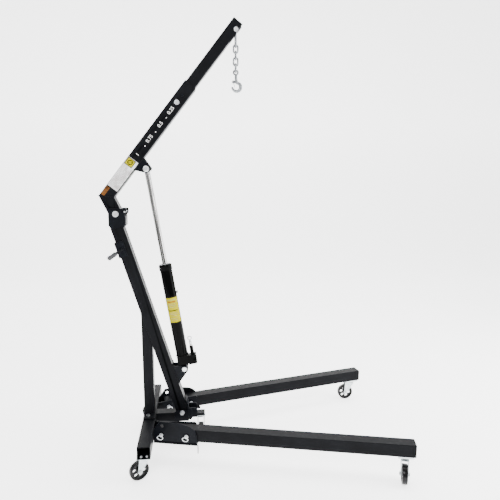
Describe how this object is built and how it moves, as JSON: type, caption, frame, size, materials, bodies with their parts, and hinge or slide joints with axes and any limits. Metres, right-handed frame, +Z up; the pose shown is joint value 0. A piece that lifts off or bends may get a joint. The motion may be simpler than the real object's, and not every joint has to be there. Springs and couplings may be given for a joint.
{
  "type": "engine hoist crane",
  "caption": "Folding shop crane: two splayed legs on swivel casters, leaning mast, telescopic boom raised by a hydraulic ram, chain with safety hook.",
  "frame": {"origin": "on the floor under the middle of the rear crossbeam, on the symmetry plane", "axes": "+X the way the legs and boom point, +Y to the crane's left, +Z up"},
  "size_m": [1.4356, 0.9084, 2.0876],
  "materials": {
    "black_paint": "satin",
    "gloss_black": "gloss",
    "zinc": "satin",
    "chrome_rod": "polished",
    "wheel_plastic": "satin",
    "grip_rubber": "matte"
  },
  "bodies": {
    "base": {"rear_crossbeam": "black_paint", "centre_beam": "black_paint", "leg_bracket_right": "black_paint", "leg_bracket_left": "black_paint", "leg_hinge_pins": "zinc", "mast": "black_paint", "mast_foot_bracket": "black_paint", "nose_bracket": "black_paint", "strut": "black_paint", "ram_gussets": "black_paint", "mast_head_bracket": "black_paint", "push_bar_strap": "black_paint", "push_bar_arms": "black_paint", "push_bar_grips": "grip_rubber", "boom_pivot_bolt": "zinc", "ram_foot_pin": "zinc", "frame_bolts": "zinc", "caster_plates_rear": "zinc", "caster_plate_centre": "zinc", "caster_bolts": "zinc"},
    "leg_right": {"leg_right": "black_paint", "caster_plate_front_right": "zinc"},
    "leg_left": {"leg_left": "black_paint", "caster_plate_front_left": "zinc"},
    "lock_pin_right": {"leg_lock_pin_right": "zinc"},
    "lock_pin_left": {"leg_lock_pin_left": "zinc"},
    "boom": {"boom_outer_tube": "black_paint", "boom_neck": "black_paint", "boom_ram_bracket": "black_paint", "ram_head_pin_caps": "zinc", "boom_guide_screws": "zinc"},
    "boom_extension": {"boom_inner_tube": "black_paint", "boom_tip_bolt": "zinc"},
    "boom_lock": {"boom_lock_bolt": "zinc"},
    "ram": {"ram_barrel": "gloss_black", "ram_cap": "gloss_black", "ram_base": "black_paint", "ram_filler_plug": "zinc"},
    "ram_rod": {"ram_rod": "chrome_rod"},
    "pump": {"pump_plunger": "black_paint", "pump_ring": "zinc", "pump_sleeve": "black_paint"},
    "release_valve": {"release_valve": "black_paint"},
    "shackle": {"chain_shackle": "zinc"},
    "link_1": {"chain_link_1": "zinc"},
    "link_2": {"chain_link_2": "zinc"},
    "link_3": {"chain_link_3": "zinc"},
    "link_4": {"chain_link_4": "zinc"},
    "hook": {"hook": "zinc"},
    "hook_latch": {"hook_latch": "zinc"},
    "swivel_rear_right": {"caster_fork_rear_right": "zinc"},
    "wheel_rear_right": {"caster_wheel_rear_right": "wheel_plastic"},
    "swivel_rear_left": {"caster_fork_rear_left": "zinc"},
    "wheel_rear_left": {"caster_wheel_rear_left": "wheel_plastic"},
    "swivel_front_right": {"caster_fork_front_right": "zinc"},
    "wheel_front_right": {"caster_wheel_front_right": "wheel_plastic"},
    "swivel_front_left": {"caster_fork_front_left": "zinc"},
    "wheel_front_left": {"caster_wheel_front_left": "wheel_plastic"},
    "swivel_centre": {"caster_fork_centre": "zinc"},
    "wheel_centre": {"caster_wheel_centre": "wheel_plastic"}
  },
  "joints": [
    {"name": "boom_lift", "type": "hinge", "parent": "base", "child": "boom", "pos_m": [-0.1266, 0, 1.201], "axis": [0, -1, 0], "range_deg": [-48, 0]},
    {"name": "boom_extend", "type": "slide", "parent": "boom", "child": "boom_extension", "axis": [0.6157, 0, 0.788], "range_m": [-0.246, 0]},
    {"name": "boom_lock_pull", "type": "slide", "parent": "boom", "child": "boom_lock", "axis": [0, -1, 0], "range_m": [0, 0.03]},
    {"name": "ram_tilt", "type": "hinge", "parent": "base", "child": "ram", "pos_m": [0.1782, 0, 0.418], "axis": [0, -1, 0], "range_deg": [-5.9, 0]},
    {"name": "ram_stroke", "type": "slide", "parent": "ram", "child": "ram_rod", "axis": [-0.1576, 0, 0.9875], "range_m": [-0.189, 0]},
    {"name": "pump_stroke", "type": "slide", "parent": "ram", "child": "pump", "axis": [-0.1576, 0, 0.9875], "range_m": [0, 0.018]},
    {"name": "release_valve_turn", "type": "hinge", "parent": "ram", "child": "release_valve", "pos_m": [0.23272, 0, 0.45708], "axis": [0, -1, 0], "range_deg": [0, 180]},
    {"name": "leg_fold_right", "type": "hinge", "parent": "base", "child": "leg_right", "pos_m": [0.0764, -0.1387, 0.155], "axis": [-0.2267, -0.974, 0], "range_deg": [0, 90]},
    {"name": "lock_pin_pull_right", "type": "slide", "parent": "base", "child": "lock_pin_right", "axis": [-0.2267, -0.974, 0], "range_m": [0, 0.0755]},
    {"name": "leg_fold_left", "type": "hinge", "parent": "base", "child": "leg_left", "pos_m": [0.0764, 0.1387, 0.155], "axis": [0.2267, -0.974, 0], "range_deg": [0, 90]},
    {"name": "lock_pin_pull_left", "type": "slide", "parent": "base", "child": "lock_pin_left", "axis": [0.2267, -0.974, 0], "range_m": [0, 0.0755]},
    {"name": "swivel_rear_right", "type": "hinge", "parent": "base", "child": "swivel_rear_right", "pos_m": [0, -0.261, 0.11], "axis": [0, 0, 1], "continuous": true},
    {"name": "spin_rear_right", "type": "hinge", "parent": "swivel_rear_right", "child": "wheel_rear_right", "pos_m": [-0.02825, -0.27602, 0.045], "axis": [0.4695, -0.8829, 0], "continuous": true},
    {"name": "swivel_rear_left", "type": "hinge", "parent": "base", "child": "swivel_rear_left", "pos_m": [0, 0.261, 0.11], "axis": [0, 0, 1], "continuous": true},
    {"name": "spin_rear_left", "type": "hinge", "parent": "swivel_rear_left", "child": "wheel_rear_left", "pos_m": [-0.03091, 0.26928, 0.045], "axis": [-0.2588, -0.9659, 0], "continuous": true},
    {"name": "swivel_front_right", "type": "hinge", "parent": "leg_right", "child": "swivel_front_right", "pos_m": [1.18478, -0.39663, 0.11], "axis": [0, 0, 1], "continuous": true},
    {"name": "spin_front_right", "type": "hinge", "parent": "swivel_front_right", "child": "wheel_front_right", "pos_m": [1.17384, -0.4267, 0.045], "axis": [0.9397, -0.342, 0], "continuous": true},
    {"name": "swivel_front_left", "type": "hinge", "parent": "leg_left", "child": "swivel_front_left", "pos_m": [1.18478, 0.39663, 0.11], "axis": [0, 0, 1], "continuous": true},
    {"name": "spin_front_left", "type": "hinge", "parent": "swivel_front_left", "child": "wheel_front_left", "pos_m": [1.15278, 0.39663, 0.045], "axis": [0, -1, 0], "continuous": true},
    {"name": "swivel_centre", "type": "hinge", "parent": "base", "child": "swivel_centre", "pos_m": [0.257, 0, 0.11], "axis": [0, 0, 1], "continuous": true},
    {"name": "spin_centre", "type": "hinge", "parent": "swivel_centre", "child": "wheel_centre", "pos_m": [0.257, 0.032, 0.045], "axis": [-1, 0, 0], "continuous": true},
    {"name": "shackle_swing", "type": "hinge", "parent": "boom_extension", "child": "shackle", "pos_m": [0.44098, 0, 2.03527], "axis": [0, -1, 0], "range_deg": [0, 55]},
    {"name": "link_1_swing", "type": "hinge", "parent": "shackle", "child": "link_1", "pos_m": [0.44098, 0, 1.96427], "axis": [0, -1, 0], "range_deg": [-15, 15]},
    {"name": "link_2_swing", "type": "hinge", "parent": "link_1", "child": "link_2", "pos_m": [0.44098, 0, 1.93707], "axis": [1, 0, 0], "range_deg": [-15, 15]},
    {"name": "link_3_swing", "type": "hinge", "parent": "link_2", "child": "link_3", "pos_m": [0.44098, 0, 1.90937], "axis": [0, -1, 0], "range_deg": [-15, 15]},
    {"name": "link_4_swing", "type": "hinge", "parent": "link_3", "child": "link_4", "pos_m": [0.44098, 0, 1.88167], "axis": [1, 0, 0], "range_deg": [-15, 15]},
    {"name": "hook_swing", "type": "hinge", "parent": "link_4", "child": "hook", "pos_m": [0.44098, 0, 1.85397], "axis": [0, -1, 0], "range_deg": [-15, 15]},
    {"name": "hook_latch_open", "type": "hinge", "parent": "hook", "child": "hook_latch", "pos_m": [0.42948, 0, 1.81027], "axis": [0, -1, 0], "range_deg": [0, 20], "stiffness_Nm_per_rad": 0.05, "springref_deg": -11.46}
  ],
  "couplings": [
    {"joint": "ram_tilt", "follows": "boom_lift", "ratio": 0.122},
    {"joint": "ram_stroke", "follows": "boom_lift", "m_per_rad": 0.2246}
  ]
}
